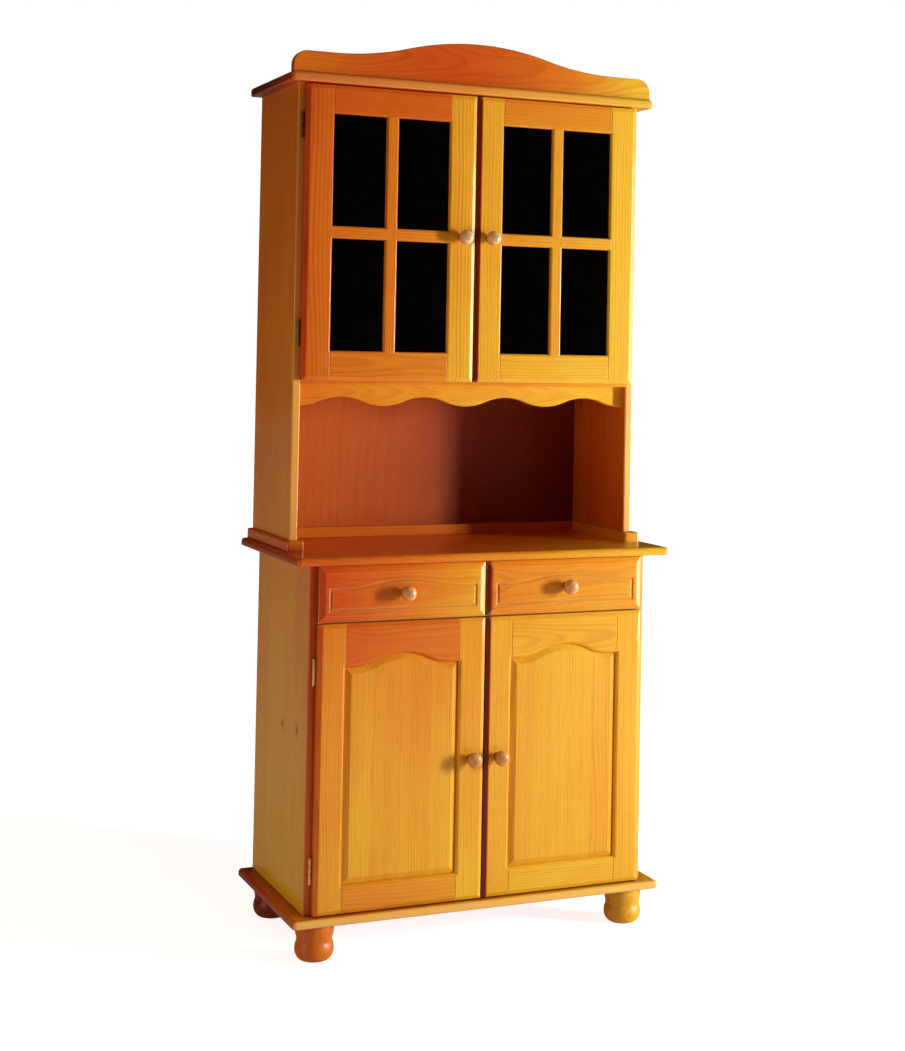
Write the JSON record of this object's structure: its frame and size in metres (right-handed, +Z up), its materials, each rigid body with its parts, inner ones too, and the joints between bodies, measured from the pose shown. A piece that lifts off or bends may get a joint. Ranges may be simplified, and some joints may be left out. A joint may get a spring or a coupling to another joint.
{
  "type": "dresser cabinet with glazed hutch",
  "caption": "Tall pine dresser: cupboard with panelled doors and drawers on bun feet, open niche over the worktop, glazed hutch with cornice and shaped crest.",
  "frame": {"origin": "on the floor, in the middle of the width and in the middle of the depth from the knob fronts to the back", "axes": "+X to the right of a person facing the doors, -Y out of the front, +Z up"},
  "size_m": [0.88, 0.437, 1.97],
  "materials": {
    "varnished_pine": "glossy honey-orange varnish over knotty pine",
    "plain_pine": "plain pine with a thin clear coat",
    "thin_plywood": "stained thin plywood",
    "turned_knob_wood": "pale turned wood, satin varnish",
    "clear_glass": "clear window glass",
    "brass_hardware": "brass-plated steel, slightly dulled",
    "brown_plastic": "brown moulded plastic"
  },
  "bodies": {
    "cabinet": {"base_board": "varnished_pine", "case_hinge_leaves": "brass_hardware", "case_rails": "plain_pine", "cornice": "varnished_pine", "crest": "varnished_pine", "door_catches": "brown_plastic", "drawer_divider": "plain_pine", "drawer_runners": "plain_pine", "foot_front_left": "varnished_pine", "foot_front_right": "varnished_pine", "foot_rear_left": "varnished_pine", "foot_rear_right": "varnished_pine", "hutch_back_panel": "thin_plywood", "hutch_back_strip": "varnished_pine", "hutch_floor": "varnished_pine", "hutch_runner_left": "varnished_pine", "hutch_runner_right": "varnished_pine", "hutch_shelf": "varnished_pine", "hutch_side_left": "varnished_pine", "hutch_side_right": "varnished_pine", "lower_back_panel": "thin_plywood", "lower_shelf": "varnished_pine", "lower_side_left": "varnished_pine", "lower_side_right": "varnished_pine", "shelf_cleats": "plain_pine", "valance": "varnished_pine", "worktop": "varnished_pine"},
    "drawer_left": {"drawer_left_box": "plain_pine", "drawer_left_front": "varnished_pine", "drawer_left_knob": "turned_knob_wood"},
    "drawer_right": {"drawer_right_box": "plain_pine", "drawer_right_front": "varnished_pine", "drawer_right_knob": "turned_knob_wood"},
    "hutch_door_left": {"hutch_door_left_beads": "varnished_pine", "hutch_door_left_fittings": "brass_hardware", "hutch_door_left_glass": "clear_glass", "hutch_door_left_knob": "turned_knob_wood", "hutch_door_left_muntins": "varnished_pine", "hutch_door_left_rails": "varnished_pine", "hutch_door_left_stiles": "varnished_pine"},
    "hutch_door_right": {"hutch_door_right_beads": "varnished_pine", "hutch_door_right_fittings": "brass_hardware", "hutch_door_right_glass": "clear_glass", "hutch_door_right_knob": "turned_knob_wood", "hutch_door_right_muntins": "varnished_pine", "hutch_door_right_rails": "varnished_pine", "hutch_door_right_stiles": "varnished_pine"},
    "lower_door_left": {"lower_door_left_bottom_rail": "varnished_pine", "lower_door_left_fittings": "brass_hardware", "lower_door_left_knob": "turned_knob_wood", "lower_door_left_panel": "varnished_pine", "lower_door_left_stiles": "varnished_pine", "lower_door_left_top_rail": "varnished_pine"},
    "lower_door_right": {"lower_door_right_bottom_rail": "varnished_pine", "lower_door_right_fittings": "brass_hardware", "lower_door_right_knob": "turned_knob_wood", "lower_door_right_panel": "varnished_pine", "lower_door_right_stiles": "varnished_pine", "lower_door_right_top_rail": "varnished_pine"}
  },
  "joints": [
    {"name": "hutch_door_left_hinge", "type": "hinge", "parent": "cabinet", "child": "hutch_door_left", "pos_m": [-0.405, -0.0634, 0], "axis": [0, 0, -1], "range_deg": [0, 110]},
    {"name": "hutch_door_right_hinge", "type": "hinge", "parent": "cabinet", "child": "hutch_door_right", "pos_m": [0.405, -0.0634, 0], "axis": [0, 0, 1], "range_deg": [0, 110]},
    {"name": "lower_door_left_hinge", "type": "hinge", "parent": "cabinet", "child": "lower_door_left", "pos_m": [-0.386, -0.1614, 0], "axis": [0, 0, -1], "range_deg": [0, 110]},
    {"name": "lower_door_right_hinge", "type": "hinge", "parent": "cabinet", "child": "lower_door_right", "pos_m": [0.386, -0.1614, 0], "axis": [0, 0, 1], "range_deg": [0, 110]},
    {"name": "drawer_left_slide", "type": "slide", "parent": "cabinet", "child": "drawer_left", "axis": [0, -1, 0], "range_m": [0, 0.25]},
    {"name": "drawer_right_slide", "type": "slide", "parent": "cabinet", "child": "drawer_right", "axis": [0, -1, 0], "range_m": [0, 0.25]}
  ]
}
